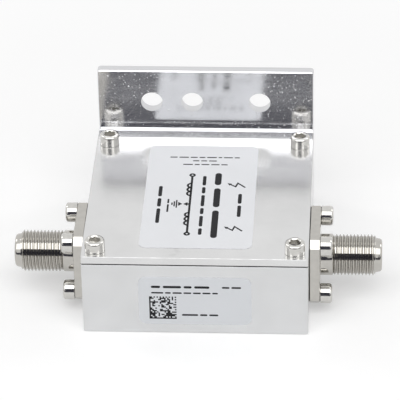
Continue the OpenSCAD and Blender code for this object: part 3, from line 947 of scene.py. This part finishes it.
class ARRESTOR_OT_front_label(ArrestorOperator):
    """Finish the front label and print it with plain rows and a chance code block"""

    bl_idname = "arrestor.front_label"
    bl_label = "Front label"

    def execute(self, context):
        sizes = settings().marks
        chance = random.Random(sizes.seed + 1)
        dress(label_finish("front_label_film", settings().finish.foil, rough=0.4), "front_label")
        origin = ((FRONT_LOW.x + FRONT_HIGH.x) / 2, FRONT_LOW.y, 0.0)
        sheet = Sheet(origin, along=(1, 0, 0), up=(0, 0, 1))
        for row in FRONT_ROWS:
            sheet.words(*row, chance)
        sheet.code_block(*CODE_PLACE, sizes.code_size / MM, sizes.code_cells, chance)
        add_piece("front_label_print", sheet.build, ink_finish("front_label_ink"))
        return {"FINISHED"}


class ARRESTOR_OT_stage(ArrestorOperator):
    """Set up the camera, the lamps, the dark cards, the room and the pale floor"""

    bl_idname = "arrestor.stage"
    bl_label = "Studio stage"

    def execute(self, context):
        context.scene.view_settings.view_transform = "Standard"
        look = settings().stage
        add_camera()
        add_softbox("softbox", turned=0, raised=59, reach=0.62, width=0.95, depth=0.428,
                    radiance=look.softbox)
        for name, turned in (("left_strip", -118), ("right_strip", 118)):
            add_softbox(name, turned, raised=38, reach=0.80, width=0.17, depth=0.50, radiance=look.strips)
        add_dark_cards()
        add_room()
        add_floor()
        return {"FINISHED"}


# Stage

def direction(turned, raised):
    """The way out from the part, turned to the right of the front and raised from the floor"""
    return Vector((math.sin(turned) * math.cos(raised), -math.cos(turned) * math.cos(raised),
                   math.sin(raised)))


def add_camera():
    """A long lens at the photograph's angle, rolled as the photograph is"""
    look = settings().stage
    back = direction(look.azimuth, look.elevation)
    right = (-back).cross(Vector((0, 0, 1))).normalized()
    up = right.cross(-back)
    rolled_right = right * math.cos(look.roll) + up * math.sin(look.roll)
    rolled_up = up * math.cos(look.roll) - right * math.sin(look.roll)
    turn = Matrix((rolled_right, rolled_up, back)).transposed().to_4x4()
    target = Vector((0, 0, look.target_height))
    data = bpy.data.cameras.new("camera")
    data.sensor_width = 36.0
    data.lens = look.lens
    data.clip_start = 0.01
    camera = link_object("camera", data)
    camera.matrix_world = Matrix.Translation(target + back * look.distance) @ turn
    bpy.context.scene.camera = camera


def add_softbox(name, turned, raised, reach, width, depth, radiance):
    """A large soft lamp that faces the part, placed by two angles in degrees"""
    away = direction(math.radians(turned), math.radians(raised))
    data = bpy.data.lights.new(name, "AREA")
    data.shape = "RECTANGLE"
    data.size = width
    data.size_y = depth
    data.energy = radiance * math.pi * width * depth
    lamp = link_object(name, data)
    lamp.matrix_world = Matrix.Translation(away * reach) @ away.to_track_quat("Z", "Y").to_matrix().to_4x4()
    lamp.visible_camera = False


def bare_material(name):
    """A material with no nodes yet"""
    material = bpy.data.materials.new(name)
    material.use_nodes = True
    material.node_tree.nodes.clear()
    return material


def stage_card(name, corners, material):
    """A flat card of the stage"""
    build = bmesh.new()
    build.faces.new([build.verts.new(corner) for corner in corners])
    card = mesh_object(name, build, material)
    return card


def add_dark_cards():
    """A tall dark card behind the camera and a low one at each side, seen only in bright metal"""
    near_black = (0.060, 0.060, 0.078, 1.0)
    material = bare_material("card_black")
    tree = material.node_tree
    glow = wire(tree, "ShaderNodeEmission", {"Color": near_black})
    wire(tree, "ShaderNodeOutputMaterial", {"Surface": glow.outputs["Emission"]})
    near, far, low = 0.40, 1.02, 0.01
    front, side = -0.95, -0.34
    tall, short = 0.86, 0.22
    for name, left, right, top in (
            ("front_card", (-near, front), (near, front), tall),
            ("left_card", (-far, side), (-near, front), short),
            ("right_card", (near, front), (far, side), short)):
        card = stage_card(name, ((*left, low), (*right, low), (*right, top), (*left, top)), material)
        card.visible_camera = False
        card.visible_diffuse = False
        card.visible_shadow = False


def seen_rays(tree):
    """1 for camera, glossy and transmission rays, and 0 for the rest"""
    path = wire(tree, "ShaderNodeLightPath").outputs
    mirrored = calculate(tree, "MAXIMUM", path["Is Camera Ray"], path["Is Glossy Ray"])
    return calculate(tree, "MAXIMUM", mirrored, path["Is Transmission Ray"])


def add_room():
    """A room that looks white and adds a weaker fill"""
    world = bpy.data.worlds.new("room")
    world.use_nodes = True
    tree = world.node_tree
    strength = wire(tree, "ShaderNodeMapRange", {
        "Value": seen_rays(tree), "To Min": settings().stage.fill, "To Max": 1.0})
    background = tree.nodes["Background"]
    background.inputs["Color"].default_value = (1.0, 1.0, 1.0, 1.0)
    tree.links.new(strength.outputs["Result"], background.inputs["Strength"])
    bpy.context.scene.world = world


def add_floor():
    """A pale floor that keeps the part's shadow and fades to white away from it"""
    wide = 4.0
    lift = 0.33
    near, far = 0.06, 0.20
    material = bare_material("floor_paper")
    tree = material.node_tree
    seen = seen_rays(tree)
    paper = wire(tree, "ShaderNodeBsdfDiffuse", {"Color": (*settings().stage.floor, 1.0)})
    glow = wire(tree, "ShaderNodeEmission", {"Strength": calculate(tree, "MULTIPLY", seen, lift)})
    lit = wire(tree, "ShaderNodeAddShader", {0: paper.outputs["BSDF"], 1: glow.outputs["Emission"]})
    white = wire(tree, "ShaderNodeEmission")
    place = wire(tree, "ShaderNodeTexCoord").outputs["Object"]
    distance = wire(tree, "ShaderNodeVectorMath", {0: place}, operation="LENGTH").outputs["Value"]
    fade = wire(tree, "ShaderNodeMapRange", {"Value": distance, "From Min": near, "From Max": far},
                interpolation_type="SMOOTHSTEP")
    amount = calculate(tree, "MULTIPLY", fade.outputs["Result"], seen)
    mix = wire(tree, "ShaderNodeMixShader", {
        "Fac": amount, 1: lit.outputs["Shader"], 2: white.outputs["Emission"]})
    wire(tree, "ShaderNodeOutputMaterial", {"Surface": mix.outputs["Shader"]})
    stage_card("floor", ((-wide, -wide, 0), (wide, -wide, 0), (wide, wide, 0), (-wide, wide, 0)), material)


# Add-on

OPERATORS = (
    ARRESTOR_OT_box, ARRESTOR_OT_grounding_plate, ARRESTOR_OT_jacks, ARRESTOR_OT_jack_inserts,
    ARRESTOR_OT_screws, ARRESTOR_OT_seals, ARRESTOR_OT_circuit, ARRESTOR_OT_top_label,
    ARRESTOR_OT_front_label, ARRESTOR_OT_stage,
)


class ARRESTOR_PT_sidebar(bpy.types.Panel):
    """Lists the pieces and their settings"""

    bl_idname = "ARRESTOR_PT_sidebar"
    bl_label = "Surge arrestor"
    bl_space_type = "VIEW_3D"
    bl_region_type = "UI"
    bl_category = "Arrestor"

    def draw(self, context):
        for operator in OPERATORS:
            self.layout.operator(operator.bl_idname)
        for group in (settings().jack, settings().marks, settings().finish, settings().stage):
            box = self.layout.box()
            for name in group.bl_rna.properties.keys():
                if name not in ("rna_type", "name"):
                    box.prop(group, name)


GROUPS = (JackSizes, PrintSizes, FinishColours, StageSettings, ArrestorSettings)
CLASSES = (*GROUPS, *OPERATORS, ARRESTOR_PT_sidebar)


def register():
    for cls in CLASSES:
        bpy.utils.register_class(cls)
    bpy.types.Scene.arrestor = PointerProperty(type=ArrestorSettings)


def unregister():
    del bpy.types.Scene.arrestor
    for cls in reversed(CLASSES):
        bpy.utils.unregister_class(cls)


def main():
    register()
    for operator in OPERATORS:
        group, name = operator.bl_idname.split(".")
        getattr(getattr(bpy.ops, group), name)()


if __name__ == "__main__":
    main()
